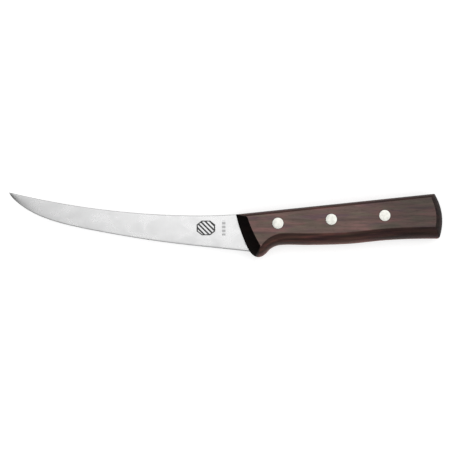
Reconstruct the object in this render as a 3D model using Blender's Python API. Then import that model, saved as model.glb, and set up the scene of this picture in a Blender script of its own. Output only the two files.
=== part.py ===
"""Boning knife: a curved blade with a full tang, two wooden scales and three two-part rivets.

The knife lies on its right side on the ground, Z = 0. +X runs from the tip to the butt, +Y from
the cutting edge to the spine, and +Z through the thickness. Lengths are in metres.

Two flat frames hold the outlines. The blade's frame has its origin at the handle's upper front
corner and the axes of the finished knife. The handle's frame has the same origin and is turned
by HANDLE_TILT, so that the handle's straight back lies along its X axis.
"""

import math
from dataclasses import dataclass

import bmesh
import bpy
import numpy as np

MM = 0.001

# Clearance between pieces that touch one another.
FIT_GAP = 0.3 * MM

# Blade.
BLADE_LENGTH = 149.0 * MM  # tip to the handle's upper front corner, along X
TIP_RISE = 14.45 * MM  # tip above that corner
SPINE_DIP = 0.8 * MM  # lowest point of the spine below that corner
SPINE_DIP_AHEAD = 23.4 * MM  # that lowest point ahead of the handle
HEEL_DEPTH = 24.4 * MM  # end of the cutting edge below the corner, on the handle's front
TIP_WIDTH = 0.5 * MM
TIP_THICKNESS = 0.9 * MM
EDGE_BEVEL = 0.9 * MM  # width of the sharpened bevel
SHOULDER_THICKNESS = 0.45 * MM  # blade thickness where that bevel starts
EDGE_LAND = 0.1 * MM  # blunt width left along the cutting edge
MOST_BEVEL_SHARE = 0.4  # of the blade's width, where it narrows to the tip
PLUNGE_LENGTH = 7.0 * MM  # where the ground faces run out to full thickness at the handle
LEAN_START = 0.6  # share of the blade from which its cross-sections lean towards the handle's front

# Run of the cutting edge from the tip to the heel: (share of its length, share of its drop).
EDGE_SHAPE = (
    (0.0, 0.0),
    (0.013, 0.077),
    (0.026, 0.129),
    (0.046, 0.197),
    (0.071, 0.268),
    (0.105, 0.347),
    (0.154, 0.433),
    (0.213, 0.511),
    (0.296, 0.592),
    (0.379, 0.66),
    (0.5, 0.748),
    (0.628, 0.829),
    (0.753, 0.892),
    (0.878, 0.946),
    (1.0, 1.0),
)

# Handle.
HANDLE_LENGTH = 130.6 * MM  # along its straight back
HANDLE_TILT = math.radians(5.94)
HANDLE_THICKNESS = 17.6 * MM
TANG_THICKNESS = 2.2 * MM
FRONT_LEAN = math.radians(6.5)  # lean of the front at its top, from square to the back
FRONT_RADIUS = 102.0 * MM  # the front sweeps back further on its way down
HEEL_ROUNDING = 12.4 * MM
FINGER_RADIUS = 12.3 * MM
FINGER_AT = 26.5 * MM  # top of the finger curve behind the front corner
FINGER_DEPTH = 23.1 * MM  # top of the finger curve below the back
FINGER_SWEEP = math.radians(46.0)
BUTT_DEPTH = 29.7 * MM  # lower butt corner below the back
BUTT_SET_BACK = 0.0 * MM  # lower butt corner behind the upper one
BUTT_BULGE = 3.4 * MM
BUTT_ROUNDING = 1.6 * MM
BACK_ROUNDING = 0.6 * MM  # upper butt corner
FRONT_ROUNDING = 0.3 * MM  # upper front corner

# Belly between the finger curve and the butt: (share of its length, depth below the back).
BELLY_DEPTHS = ((0.18, 24.95 * MM), (0.43, 26.9 * MM), (0.68, 27.1 * MM))


@dataclass(frozen=True)
class Bevel:
    """Bevel between a scale's side face and its rim: an arc from steep at the rim to shallow."""

    start_width: float
    end_width: float
    drop: float
    rim_angle: float
    face_angle: float


# Bevels round a scale, clockwise from the upper front corner. Angles are from the rim's wall.
BACK_BEVEL = Bevel(2.15 * MM, 2.15 * MM, 3.0 * MM, math.radians(8), math.radians(72))
BUTT_BEVEL = Bevel(2.8 * MM, 5.2 * MM, 4.4 * MM, math.radians(20), math.radians(68))
BELLY_BEVEL = Bevel(7.9 * MM, 5.9 * MM, 6.3 * MM, math.radians(2), math.radians(62))
FRONT_BEVEL = Bevel(8.5 * MM, 5.7 * MM, 5.6 * MM, math.radians(36), math.radians(54))
FACE_CORNER_ROUNDING = 0.5 * MM  # corners of the flat side face

# Rivets.
RIVET_COUNT = 3
RIVET_FIRST = 26.5 * MM  # first rivet behind the front corner
RIVET_PITCH = 34.95 * MM
RIVET_DEPTH = 8.6 * MM  # first rivet below the back
RIVET_FALL = 1.1 * MM  # how much lower each next rivet is
RIVET_HEAD_DIAMETER = 7.4 * MM
RIVET_HEAD_THICKNESS = 2.4 * MM
SOCKET_DIAMETER = 5.0 * MM
SOCKET_BORE = 3.4 * MM
SOCKET_BORE_FLOOR = 1.0 * MM  # metal left between the bore's end and the head's outer face
PIN_END_CLEARANCE = 1.0 * MM

# Fineness of the meshes.
PATH_STEPS = 24
TOP_SAMPLES = 10
BUTT_SAMPLES = 9
BELLY_SAMPLES = 30
FRONT_SAMPLES = 14
CORNER_SAMPLES = 5
HEEL_SAMPLES = 12
BEVEL_STEPS = 5
BLADE_STATIONS = 44
BLADE_SAMPLES = 6
ROUND_SEGMENTS = 32
TIP_CROWDING = 1.7
OUTLINE_RUN_OUT = 6.0 * MM  # how far each stretch is drawn past its corners before it is cut
SMOOTH_ANGLE = math.radians(30)

# Points on the handle's back, butt, belly and front, and on the corner after each.
COUNTS = (TOP_SAMPLES, BUTT_SAMPLES, BELLY_SAMPLES, FRONT_SAMPLES)
CORNERS = (CORNER_SAMPLES, CORNER_SAMPLES, HEEL_SAMPLES, CORNER_SAMPLES)

HALF_HANDLE = HANDLE_THICKNESS / 2
HALF_TANG = TANG_THICKNESS / 2


# ---------------------------------------------------------------- flat curves


def unit(vector):
    """Vector of length one along the given one."""
    return vector / np.linalg.norm(vector)


def smooth_path(points, start_direction, steps):
    """Smooth curve through the points, leaving the first one along start_direction."""
    points = np.array(points)
    chords = np.linalg.norm(np.diff(points, axis=0), axis=1)
    knots = np.concatenate([[0.0], np.cumsum(chords)])
    slopes = np.gradient(points, knots, axis=0, edge_order=2)
    if start_direction is not None:
        slopes[0] = unit(np.array(start_direction))
    path = [points[0]]
    for i, chord in enumerate(chords):
        for step in range(1, steps + 1):
            t = step / steps
            path.append(
                (2 * t**3 - 3 * t**2 + 1) * points[i]
                + (t**3 - 2 * t**2 + t) * chord * slopes[i]
                + (3 * t**2 - 2 * t**3) * points[i + 1]
                + (t**3 - t**2) * chord * slopes[i + 1]
            )
    return np.array(path)


def lengths_along(path):
    """Distance of each point of a path from its start."""
    return np.concatenate([[0.0], np.cumsum(np.linalg.norm(np.diff(path, axis=0), axis=1))])


def at_length(path, length):
    """Point or points of a path at the given distance or distances from its start."""
    along = lengths_along(path)
    return np.stack([np.interp(length, along, path[:, axis]) for axis in range(2)], axis=-1)


def resample(path, start, end, count):
    """Evenly spaced points of a path between two distances from its start."""
    return at_length(path, np.linspace(start, end, count))


def offset(path, lengths, widths):
    """Path moved to its right-hand side, by widths given at some lengths along it."""
    along = lengths_along(path)
    tangents = np.gradient(path, along, axis=0)
    tangents /= np.linalg.norm(tangents, axis=1)[:, None]
    inward = np.stack([tangents[:, 1], -tangents[:, 0]], axis=1)
    return path + inward * np.interp(along, lengths, widths)[:, None]


def crossing(first, second):
    """Distances along two paths, from their starts, at which they cross."""
    first_along = lengths_along(first)
    second_along = lengths_along(second)
    for i in range(len(first) - 1):
        first_step = first[i + 1] - first[i]
        for j in range(len(second) - 1):
            second_step = second[j + 1] - second[j]
            between = second[j] - first[i]
            turn = first_step[0] * second_step[1] - first_step[1] * second_step[0]
            if turn == 0.0:
                continue
            s = (between[0] * second_step[1] - between[1] * second_step[0]) / turn
            t = (between[0] * first_step[1] - between[1] * first_step[0]) / turn
            if 0.0 <= s <= 1.0 and 0.0 <= t <= 1.0:
                first_length = first_along[i] + s * np.linalg.norm(first_step)
                second_length = second_along[j] + t * np.linalg.norm(second_step)
                return first_length, second_length
    raise ValueError("two neighbouring stretches of an outline don't meet")


def rounded_outline(stretches, roundings):
    """Closed outline through stretches that cross, with each crossing rounded.

    roundings[i] is how far the rounding between stretch i and the next one reaches along both.
    Returns, for each stretch in turn, its points and those of the corner after it.
    """
    total = len(stretches)
    starts = [0.0] * total  # where each stretch leaves the one before it
    ends = [0.0] * total
    for i, stretch in enumerate(stretches):
        following = (i + 1) % total
        ends[i], starts[following] = crossing(stretch, stretches[following])
    pieces = []
    for i, stretch in enumerate(stretches):
        following = (i + 1) % total
        reach = roundings[i]
        straight = resample(stretch, starts[i] + roundings[i - 1], ends[i] - reach, COUNTS[i])
        corner = at_length(stretch, ends[i])
        leave = at_length(stretches[following], starts[following] + reach)
        shares = np.linspace(0.0, 1.0, CORNERS[i] + 2)[1:-1, None]
        curve = (
            (1 - shares) ** 2 * straight[-1] + 2 * shares * (1 - shares) * corner + shares**2 * leave
        )
        pieces.append((straight, curve))
    return pieces


# ---------------------------------------------------------------- outline of the handle


def back_line():
    """Straight back of the handle, from the front to the butt."""
    along = np.linspace(-OUTLINE_RUN_OUT, HANDLE_LENGTH + OUTLINE_RUN_OUT, PATH_STEPS)
    return np.stack([along, np.zeros_like(along)], axis=1)


def butt_arch():
    """Arched butt, from the back to the belly."""
    run_out = OUTLINE_RUN_OUT / BUTT_DEPTH
    share = np.linspace(-run_out, 1.0 + run_out, 2 * PATH_STEPS)
    across = HANDLE_LENGTH + BUTT_SET_BACK * share + BUTT_BULGE * 4 * share * (1 - share)
    return np.stack([across, -BUTT_DEPTH * share], axis=1)


def belly_curve():
    """Belly from the butt forwards, round the finger curve and down to the heel."""
    start = np.array([FINGER_AT, -FINGER_DEPTH])
    corner = np.array([HANDLE_LENGTH + BUTT_SET_BACK, -BUTT_DEPTH])
    points = [start]
    for share, depth in BELLY_DEPTHS:
        points.append([start[0] + share * (corner[0] - start[0]), -depth])
    points.append(corner)
    belly = smooth_path(points, (1.0, 0.0), PATH_STEPS)
    run_out = belly[-1] + OUTLINE_RUN_OUT * unit(belly[-1] - belly[-2])
    angles = np.linspace(0.0, FINGER_SWEEP, PATH_STEPS)[1:]
    arc = np.stack(
        [FINGER_AT - FINGER_RADIUS * np.sin(angles),
         -FINGER_DEPTH - FINGER_RADIUS * (1 - np.cos(angles))],
        axis=1,
    )
    heel_run = 2 * OUTLINE_RUN_OUT + HEEL_ROUNDING
    heel = arc[-1] - heel_run * np.array([math.cos(FINGER_SWEEP), math.sin(FINGER_SWEEP)])
    return np.concatenate([[run_out], belly[::-1], arc, [heel]])


def front_curve():
    """Front of the handle, from the heel up to the back."""
    lowest = (FINGER_DEPTH + FINGER_RADIUS) / FRONT_RADIUS + math.sin(FRONT_LEAN)
    angles = np.linspace(math.asin(lowest), FRONT_LEAN, 3 * PATH_STEPS)
    across = math.cos(FRONT_LEAN) - np.cos(angles)
    arc = FRONT_RADIUS * np.stack([across, math.sin(FRONT_LEAN) - np.sin(angles)], axis=1)
    past = OUTLINE_RUN_OUT * np.array([-math.sin(FRONT_LEAN), math.cos(FRONT_LEAN)])
    return np.concatenate([arc, [past]])


def rim_pieces():
    """Rim of the handle, in the handle's frame: back, butt, belly and front with their corners."""
    return rounded_outline(
        (back_line(), butt_arch(), belly_curve(), front_curve()),
        (BACK_ROUNDING, BUTT_ROUNDING, HEEL_ROUNDING, FRONT_ROUNDING),
    )


def belly_face_edge():
    """Lower edge of the flat side face: the belly moved up, less so round the finger curve."""
    belly = belly_curve()
    finger_start = np.interp(-FINGER_AT, -belly[:, 0], lengths_along(belly))
    finger_end = finger_start + FINGER_RADIUS * FINGER_SWEEP
    widths = (BELLY_BEVEL.start_width, BELLY_BEVEL.end_width)
    return offset(belly, (finger_start, finger_end), widths)


def face_edge(stretch, bevel):
    """Edge of the flat side face beside one stretch of the rim, the whole bevel's width away."""
    lengths = (0.0, lengths_along(stretch)[-1])
    return offset(stretch, lengths, (bevel.start_width, bevel.end_width))


def face_pieces():
    """Edge of a scale's flat side face, in the same stretches as the rim."""
    return rounded_outline(
        (
            face_edge(back_line(), BACK_BEVEL),
            face_edge(butt_arch(), BUTT_BEVEL),
            belly_face_edge(),
            face_edge(front_curve(), FRONT_BEVEL),
        ),
        (FACE_CORNER_ROUNDING,) * 4,
    )


def joined(pieces):
    """All points of an outline in one list."""
    return np.concatenate([np.concatenate(piece) for piece in pieces])


def along_rim(value):
    """A bevel's named value at every rim point, changing evenly round each corner."""
    bevels = (BACK_BEVEL, BUTT_BEVEL, BELLY_BEVEL, FRONT_BEVEL)
    values = []
    for i, bevel in enumerate(bevels):
        here = getattr(bevel, value)
        following = getattr(bevels[(i + 1) % len(bevels)], value)
        values += [here] * COUNTS[i]
        values += list(np.linspace(here, following, CORNERS[i] + 2)[1:-1])
    return np.array(values)


def to_blade_frame(points):
    """Points of the handle's frame in the blade's frame."""
    cosine = math.cos(HANDLE_TILT)
    sine = math.sin(HANDLE_TILT)
    return np.stack(
        [points[..., 0] * cosine - points[..., 1] * sine,
         points[..., 0] * sine + points[..., 1] * cosine],
        axis=-1,
    )


# ---------------------------------------------------------------- blade


def smooth_step(share):
    """Even ease from 0 to 1."""
    share = np.clip(share, 0.0, 1.0)
    return share * share * (3 - 2 * share)


def spine_height(x):
    """Height of the spine: it dips ahead of the handle and sweeps up to the tip."""
    forward = (-SPINE_DIP_AHEAD - x) / (BLADE_LENGTH - SPINE_DIP_AHEAD)
    backward = (x + SPINE_DIP_AHEAD) / SPINE_DIP_AHEAD
    rise = np.where(forward > 0, (TIP_RISE + SPINE_DIP) * forward**2, SPINE_DIP * backward**2)
    return rise - SPINE_DIP


def blade_front_line():
    """The blade's end at the handle's front, from the spine down to the heel of the edge."""
    pieces = rim_pieces()
    front = to_blade_frame(np.concatenate([pieces[2][1], pieces[3][0], [[0.0, 0.0]]]))[::-1]
    front = front[: int(np.argmin(front[:, 1])) + 1]
    along = lengths_along(front)
    top = np.interp(0.0, -front[:, 1], along)
    heel = np.interp(HEEL_DEPTH, -front[:, 1], along)
    return resample(front, top, heel, PATH_STEPS)


def cutting_edge(front_line):
    """The cutting edge from the tip to the heel."""
    tip = np.array([-BLADE_LENGTH, TIP_RISE - TIP_WIDTH])
    run = front_line[-1] - tip
    return smooth_path([tip + run * np.array(share) for share in EDGE_SHAPE], None, PATH_STEPS)


def blade_rows():
    """Rows of (x, y, half thickness) from the tip to the handle, each from spine to edge."""
    front_line = blade_front_line()
    edge = cutting_edge(front_line)
    rows = []
    for station in range(BLADE_STATIONS + 1):
        share = (station / BLADE_STATIONS) ** TIP_CROWDING
        x = -BLADE_LENGTH * (1 - share)
        towards_handle = smooth_step((share - LEAN_START) / (1 - LEAN_START))
        edge_x = x + front_line[-1, 0] * towards_handle
        spine = np.array([x, float(spine_height(x))])
        cut = np.array([edge_x, np.interp(edge_x, edge[:, 0], edge[:, 1])])
        width = np.linalg.norm(spine - cut)
        bevel = min(EDGE_BEVEL, MOST_BEVEL_SHARE * width)
        across = np.append(np.linspace(0.0, 1.0 - bevel / width, BLADE_SAMPLES), 1.0)
        straight = spine + (cut - spine) * across[:, None]
        front_chord = front_line[0] + (front_line[-1] - front_line[0]) * across[:, None]
        on_front = at_length(front_line, across * lengths_along(front_line)[-1])
        points = straight + (on_front - front_chord) * towards_handle
        half_spine = (TIP_THICKNESS + (TANG_THICKNESS - TIP_THICKNESS) * share) / 2
        ground = np.linspace(half_spine, SHOULDER_THICKNESS / 2, BLADE_SAMPLES)
        half = np.append(ground, EDGE_LAND / 2)
        plunge = smooth_step(1 + x / PLUNGE_LENGTH)
        half = half + (HALF_TANG - half) * plunge
        rows.append(np.column_stack([points, half]))
    return rows


def tang_outline(front_line):
    """Outline of the tang, from the upper front corner clockwise to just below the heel."""
    pieces = rim_pieces()
    rim = to_blade_frame(np.concatenate([joined(pieces[:3]), pieces[3][0]]))
    below_heel = np.nonzero(rim[:, 1] < front_line[-1, 1] - FRONT_ROUNDING)[0]
    return rim[: below_heel[-1] + 1]


def blade_mesh(bm):
    """Ground blade and flat tang as one closed body."""
    rows = blade_rows()
    rings = []
    for row in rows:
        upper = [bm.verts.new((x, y, half)) for x, y, half in row]
        lower = [bm.verts.new((x, y, -half)) for x, y, half in row]
        rings.append((upper, lower))
    for (upper, lower), (next_upper, next_lower) in zip(rings, rings[1:]):
        for i in range(len(upper) - 1):
            bm.faces.new((upper[i], upper[i + 1], next_upper[i + 1], next_upper[i]))
            bm.faces.new((lower[i], next_lower[i], next_lower[i + 1], lower[i + 1]))
        bm.faces.new((upper[0], next_upper[0], next_lower[0], lower[0]))
        bm.faces.new((upper[-1], lower[-1], next_lower[-1], next_upper[-1]))
    tip_upper, tip_lower = rings[0]
    bm.faces.new(tip_upper + tip_lower[::-1])
    tang = tang_outline(blade_front_line())
    end_upper, end_lower = rings[-1]
    upper = [bm.verts.new((x, y, HALF_TANG)) for x, y in tang] + end_upper[::-1]
    lower = [bm.verts.new((x, y, -HALF_TANG)) for x, y in tang] + end_lower[::-1]
    bm.faces.new(upper)
    bm.faces.new(lower[::-1])
    for i in range(-1, len(tang)):
        bm.faces.new((upper[i], upper[i + 1], lower[i + 1], lower[i]))


# ---------------------------------------------------------------- scales


def scale_mesh(bm, side):
    """One scale: rim wall beside the tang, bevels all round, and the flat side face."""
    rim = joined(rim_pieces())
    face = joined(face_pieces())
    drop = along_rim("drop")
    rim_angle = along_rim("rim_angle")
    face_angle = along_rim("face_angle")
    levels = [np.column_stack([rim, np.full(len(rim), HALF_TANG + FIT_GAP)])]
    for step in range(BEVEL_STEPS + 1):
        angle = rim_angle + (face_angle - rim_angle) * step / BEVEL_STEPS
        inward = (np.cos(rim_angle) - np.cos(angle)) / (np.cos(rim_angle) - np.cos(face_angle))
        upward = (np.sin(angle) - np.sin(rim_angle)) / (np.sin(face_angle) - np.sin(rim_angle))
        points = rim + (face - rim) * inward[:, None]
        levels.append(np.column_stack([points, HALF_HANDLE - drop * (1 - upward)]))
    rings = [[bm.verts.new((x, y, side * z)) for x, y, z in level] for level in levels]
    count = len(rim)
    for ring, above in zip(rings, rings[1:]):
        for i in range(count):
            following = (i + 1) % count
            bm.faces.new((ring[i], ring[following], above[following], above[i]))
    bm.faces.new(rings[0])
    bm.faces.new(rings[-1])


# ---------------------------------------------------------------- rivets


def turned_mesh(bm, profile):
    """Closed body turned about Z from a profile of (radius, height) points.

    The profile starts and ends on the axis.
    """
    rings = []
    for radius, height in profile:
        if radius == 0.0:
            rings.append([bm.verts.new((0.0, 0.0, height))])
            continue
        turns = [2 * math.pi * i / ROUND_SEGMENTS for i in range(ROUND_SEGMENTS)]
        rings.append(
            [bm.verts.new((radius * math.cos(a), radius * math.sin(a), height)) for a in turns]
        )
    for ring, following in zip(rings, rings[1:]):
        for i in range(ROUND_SEGMENTS):
            corners = [ring[i % len(ring)], ring[(i + 1) % len(ring)]]
            corners += [following[(i + 1) % len(following)], following[i % len(following)]]
            bm.faces.new(list(dict.fromkeys(corners)))


def rivet_place(number):
    """Centre of a rivet in the handle's frame."""
    return (RIVET_FIRST + number * RIVET_PITCH, -RIVET_DEPTH - number * RIVET_FALL, 0.0)


def socket_profile():
    """Tubular half: a head flush with the left scale and a tube down to the other head."""
    head = RIVET_HEAD_DIAMETER / 2
    tube = SOCKET_DIAMETER / 2
    bore = SOCKET_BORE / 2
    under_head = HALF_HANDLE - RIVET_HEAD_THICKNESS
    tube_end = FIT_GAP - under_head
    return (
        (0.0, HALF_HANDLE),
        (head, HALF_HANDLE),
        (head, under_head),
        (tube, under_head),
        (tube, tube_end),
        (bore, tube_end),
        (bore, HALF_HANDLE - SOCKET_BORE_FLOOR),
        (0.0, HALF_HANDLE - SOCKET_BORE_FLOOR),
    )


def pin_profile():
    """Solid half: a head flush with the right scale and a pin up inside the socket."""
    head = RIVET_HEAD_DIAMETER / 2
    pin = SOCKET_BORE / 2 - FIT_GAP
    under_head = RIVET_HEAD_THICKNESS - HALF_HANDLE
    pin_end = HALF_HANDLE - SOCKET_BORE_FLOOR - PIN_END_CLEARANCE
    return (
        (0.0, -HALF_HANDLE),
        (head, -HALF_HANDLE),
        (head, under_head),
        (pin, under_head),
        (pin, pin_end),
        (0.0, pin_end),
    )


def drill_profile():
    """Drill that clears one whole rivet through both scales and the tang."""
    head = RIVET_HEAD_DIAMETER / 2 + FIT_GAP
    shank = SOCKET_DIAMETER / 2 + FIT_GAP
    shelf = HALF_HANDLE - RIVET_HEAD_THICKNESS - FIT_GAP
    outside = HALF_HANDLE + RIVET_HEAD_THICKNESS
    return (
        (0.0, -outside),
        (head, -outside),
        (head, -shelf),
        (shank, -shelf),
        (shank, shelf),
        (head, shelf),
        (head, outside),
        (0.0, outside),
    )


# ---------------------------------------------------------------- objects and materials


def make_material(name, colour, roughness, metallic):
    """Plain finish for one kind of piece."""
    material = bpy.data.materials.new(name)
    material.use_nodes = True
    shader = material.node_tree.nodes["Principled BSDF"]
    shader.inputs["Base Color"].default_value = (*colour, 1.0)
    shader.inputs["Roughness"].default_value = roughness
    shader.inputs["Metallic"].default_value = metallic
    material.diffuse_color = (*colour, 1.0)
    return material


def make_empty(name, parent, location, turn):
    """Frame that pieces are placed in."""
    empty = bpy.data.objects.new(name, None)
    empty.parent = parent
    empty.location = location
    empty.rotation_euler = (0.0, 0.0, turn)
    bpy.context.collection.objects.link(empty)
    return empty


def make_piece(name, parent, location, build, material):
    """Named object from a function that fills a bmesh."""
    bm = bmesh.new()
    build(bm)
    bmesh.ops.recalc_face_normals(bm, faces=bm.faces)
    mesh = bpy.data.meshes.new(name)
    bm.to_mesh(mesh)
    bm.free()
    mesh.shade_smooth()
    mesh.set_sharp_from_angle(angle=SMOOTH_ANGLE)
    piece = bpy.data.objects.new(name, mesh)
    piece.parent = parent
    piece.location = location
    bpy.context.collection.objects.link(piece)
    if material is None:
        piece.hide_render = True
        piece.display_type = "WIRE"
    else:
        mesh.materials.append(material)
    return piece


def drill_through(piece, drill):
    """Cut one drill's hole in a piece."""
    hole = piece.modifiers.new(drill.name, "BOOLEAN")
    hole.operation = "DIFFERENCE"
    hole.object = drill


def knife_box():
    """Lowest and highest corners of the whole knife in the blade's frame."""
    rows = np.concatenate(blade_rows())[:, :2]
    points = np.concatenate([rows, to_blade_frame(joined(rim_pieces()))])
    return points.min(axis=0), points.max(axis=0)


def build_knife():
    """All pieces of the knife, on the ground and centred on the origin."""
    steel = make_material("blade_steel", (0.72, 0.72, 0.72), 0.28, 1.0)
    left_wood = make_material("left_scale_wood", (0.13, 0.085, 0.075), 0.35, 0.0)
    right_wood = make_material("right_scale_wood", (0.13, 0.085, 0.075), 0.35, 0.0)
    low, high = knife_box()
    centre = (low + high) / 2
    knife = make_empty("knife", None, (-centre[0], -centre[1], HALF_HANDLE), 0.0)
    handle = make_empty("handle", knife, (0.0, 0.0, 0.0), HANDLE_TILT)
    clamped = [
        make_piece("blade", knife, (0.0, 0.0, 0.0), blade_mesh, steel),
        make_piece("left_scale", handle, (0, 0, 0), lambda bm: scale_mesh(bm, 1), left_wood),
        make_piece("right_scale", handle, (0, 0, 0), lambda bm: scale_mesh(bm, -1), right_wood),
    ]
    for number, place in enumerate(("front", "middle", "rear")[:RIVET_COUNT]):
        centre = rivet_place(number)
        metal = make_material(f"{place}_rivet_metal", (0.85, 0.84, 0.82), 0.25, 1.0)
        drill = make_piece(
            f"{place}_drill", handle, centre, lambda bm: turned_mesh(bm, drill_profile()), None
        )
        for piece in clamped:
            drill_through(piece, drill)
        make_piece(
            f"{place}_rivet_socket",
            handle,
            centre,
            lambda bm: turned_mesh(bm, socket_profile()),
            metal,
        )
        make_piece(
            f"{place}_rivet_pin",
            handle,
            centre,
            lambda bm: turned_mesh(bm, pin_profile()),
            metal,
        )


for leftover in list(bpy.data.objects):
    bpy.data.objects.remove(leftover, do_unlink=True)
build_knife()
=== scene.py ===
"""Looks of a boning knife: ground steel blade, grained wooden scales and bright compression rivets.

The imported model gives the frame. Every piece is modelled finer around it, in metres, +Z up, with
the knife lying on its right side. +X runs from the tip to the butt, +Y from the cutting edge to
the spine.

Two flat frames hold the outlines. The blade's frame has its origin at the handle's upper front
corner and the axes of the knife. The handle's frame has the same origin and is turned by the
handle's tilt, so that its straight back lies along the frame's X axis.
"""

import logging
import math
from dataclasses import dataclass, field
from enum import Enum

import bpy
import numpy as np
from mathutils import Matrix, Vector
from mathutils.kdtree import KDTree

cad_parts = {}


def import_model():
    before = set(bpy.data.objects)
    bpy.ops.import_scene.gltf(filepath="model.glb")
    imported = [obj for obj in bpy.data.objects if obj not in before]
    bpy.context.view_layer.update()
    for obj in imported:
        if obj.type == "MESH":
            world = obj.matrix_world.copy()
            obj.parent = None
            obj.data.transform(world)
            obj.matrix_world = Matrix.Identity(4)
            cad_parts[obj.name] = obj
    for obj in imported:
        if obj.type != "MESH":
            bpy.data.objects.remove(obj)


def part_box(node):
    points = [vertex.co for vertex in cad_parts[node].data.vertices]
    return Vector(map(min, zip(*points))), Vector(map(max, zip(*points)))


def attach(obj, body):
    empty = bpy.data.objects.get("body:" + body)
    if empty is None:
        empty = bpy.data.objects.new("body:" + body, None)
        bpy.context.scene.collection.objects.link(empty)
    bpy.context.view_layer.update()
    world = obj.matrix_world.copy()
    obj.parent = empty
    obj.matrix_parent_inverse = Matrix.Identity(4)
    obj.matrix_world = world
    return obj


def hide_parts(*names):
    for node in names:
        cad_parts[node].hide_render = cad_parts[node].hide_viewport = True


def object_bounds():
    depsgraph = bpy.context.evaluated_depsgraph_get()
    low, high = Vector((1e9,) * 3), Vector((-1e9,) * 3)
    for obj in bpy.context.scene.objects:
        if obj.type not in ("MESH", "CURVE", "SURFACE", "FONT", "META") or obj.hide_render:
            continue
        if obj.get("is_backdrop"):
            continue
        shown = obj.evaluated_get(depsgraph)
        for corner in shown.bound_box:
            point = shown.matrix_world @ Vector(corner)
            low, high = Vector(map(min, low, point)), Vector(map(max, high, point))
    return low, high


MM = 0.001

log = logging.getLogger("boning_knife")

Colour = tuple[float, float, float]
Socket = bpy.types.NodeSocket
Object = bpy.types.Object


# ---------------------------------------------------------------- flat curves


def unit(vector: np.ndarray) -> np.ndarray:
    """Vector of length one along the given one."""
    return vector / np.linalg.norm(vector)


def smooth_step(share: np.ndarray | float) -> np.ndarray:
    """Even ease from 0 to 1."""
    share = np.clip(share, 0.0, 1.0)
    return share * share * (3 - 2 * share)


def lengths_along(path: np.ndarray) -> np.ndarray:
    """Distance of each point of a path from its start."""
    return np.concatenate([[0.0], np.cumsum(np.linalg.norm(np.diff(path, axis=0), axis=1))])


def at_length(path: np.ndarray, length: np.ndarray | float) -> np.ndarray:
    """Point or points of a path at the given distance or distances from its start."""
    along = lengths_along(path)
    return np.stack([np.interp(length, along, path[:, axis]) for axis in range(2)], axis=-1)


def resample(path: np.ndarray, start: float, end: float, count: int) -> np.ndarray:
    """Evenly spaced points of a path between two distances from its start."""
    return at_length(path, np.linspace(start, end, count))


def smooth_path(points: list, start_direction: tuple | None, steps: int) -> np.ndarray:
    """Smooth curve through some points.

    Args:
        points: The points, in order.
        start_direction: Direction in which the curve leaves the first one, or None for free.
        steps: Number of steps from each point to the next.

    Returns:
        The curve's points.
    """
    points = np.array(points)
    chords = np.linalg.norm(np.diff(points, axis=0), axis=1)
    knots = np.concatenate([[0.0], np.cumsum(chords)])
    slopes = np.gradient(points, knots, axis=0, edge_order=2)
    if start_direction is not None:
        slopes[0] = unit(np.array(start_direction))
    path = [points[0]]
    for i, chord in enumerate(chords):
        for step in range(1, steps + 1):
            t = step / steps
            path.append(
                (2 * t**3 - 3 * t**2 + 1) * points[i]
                + (t**3 - 2 * t**2 + t) * chord * slopes[i]
                + (3 * t**2 - 2 * t**3) * points[i + 1]
                + (t**3 - t**2) * chord * slopes[i + 1]
            )
    return np.array(path)


def offset(path: np.ndarray, lengths: tuple, widths: tuple) -> np.ndarray:
    """Path moved to its right-hand side, by widths given at some lengths along it."""
    along = lengths_along(path)
    tangents = np.gradient(path, along, axis=0)
    tangents /= np.linalg.norm(tangents, axis=1)[:, None]
    inward = np.stack([tangents[:, 1], -tangents[:, 0]], axis=1)
    return path + inward * np.interp(along, lengths, widths)[:, None]


def crossing(first: np.ndarray, second: np.ndarray) -> tuple[float, float]:
    """Distances along two paths, from their starts, at which they cross."""
    first_along = lengths_along(first)
    second_along = lengths_along(second)
    steps = np.diff(second, axis=0)
    for i in range(len(first) - 1):
        step = first[i + 1] - first[i]
        between = second[:-1] - first[i]
        turn = step[0] * steps[:, 1] - step[1] * steps[:, 0]
        turn = np.where(turn == 0.0, np.inf, turn)
        s = (between[:, 0] * steps[:, 1] - between[:, 1] * steps[:, 0]) / turn
        t = (between[:, 0] * step[1] - between[:, 1] * step[0]) / turn
        hits = np.nonzero((s >= 0.0) & (s <= 1.0) & (t >= 0.0) & (t <= 1.0))[0]
        if len(hits):
            j = hits[0]
            first_length = first_along[i] + s[j] * np.linalg.norm(step)
            return first_length, second_along[j] + t[j] * np.linalg.norm(steps[j])
    raise ValueError("two neighbouring stretches of an outline don't meet")


def rounded_outline(stretches: tuple, roundings: tuple, counts: tuple, corners: tuple) -> list:
    """Closed outline through stretches that cross, with each crossing rounded.

    Args:
        stretches: The paths, in order round the outline.
        roundings: How far the rounding after each stretch reaches along it and the next one.
        counts: Number of points on each stretch.
        corners: Number of points on the rounding after each stretch.

    Returns:
        For each stretch, its points and those of the corner after it.
    """
    total = len(stretches)
    starts = [0.0] * total
    ends = [0.0] * total
    for i, stretch in enumerate(stretches):
        following = (i + 1) % total
        ends[i], starts[following] = crossing(stretch, stretches[following])
    pieces = []
    for i, stretch in enumerate(stretches):
        following = (i + 1) % total
        reach = roundings[i]
        straight = resample(stretch, starts[i] + roundings[i - 1], ends[i] - reach, counts[i])
        corner = at_length(stretch, ends[i])
        leave = at_length(stretches[following], starts[following] + reach)
        shares = np.linspace(0.0, 1.0, corners[i] + 2)[1:-1, None]
        curve = (
            (1 - shares) ** 2 * straight[-1] + 2 * shares * (1 - shares) * corner + shares**2 * leave
        )
        pieces.append((straight, curve))
    return pieces


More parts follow.
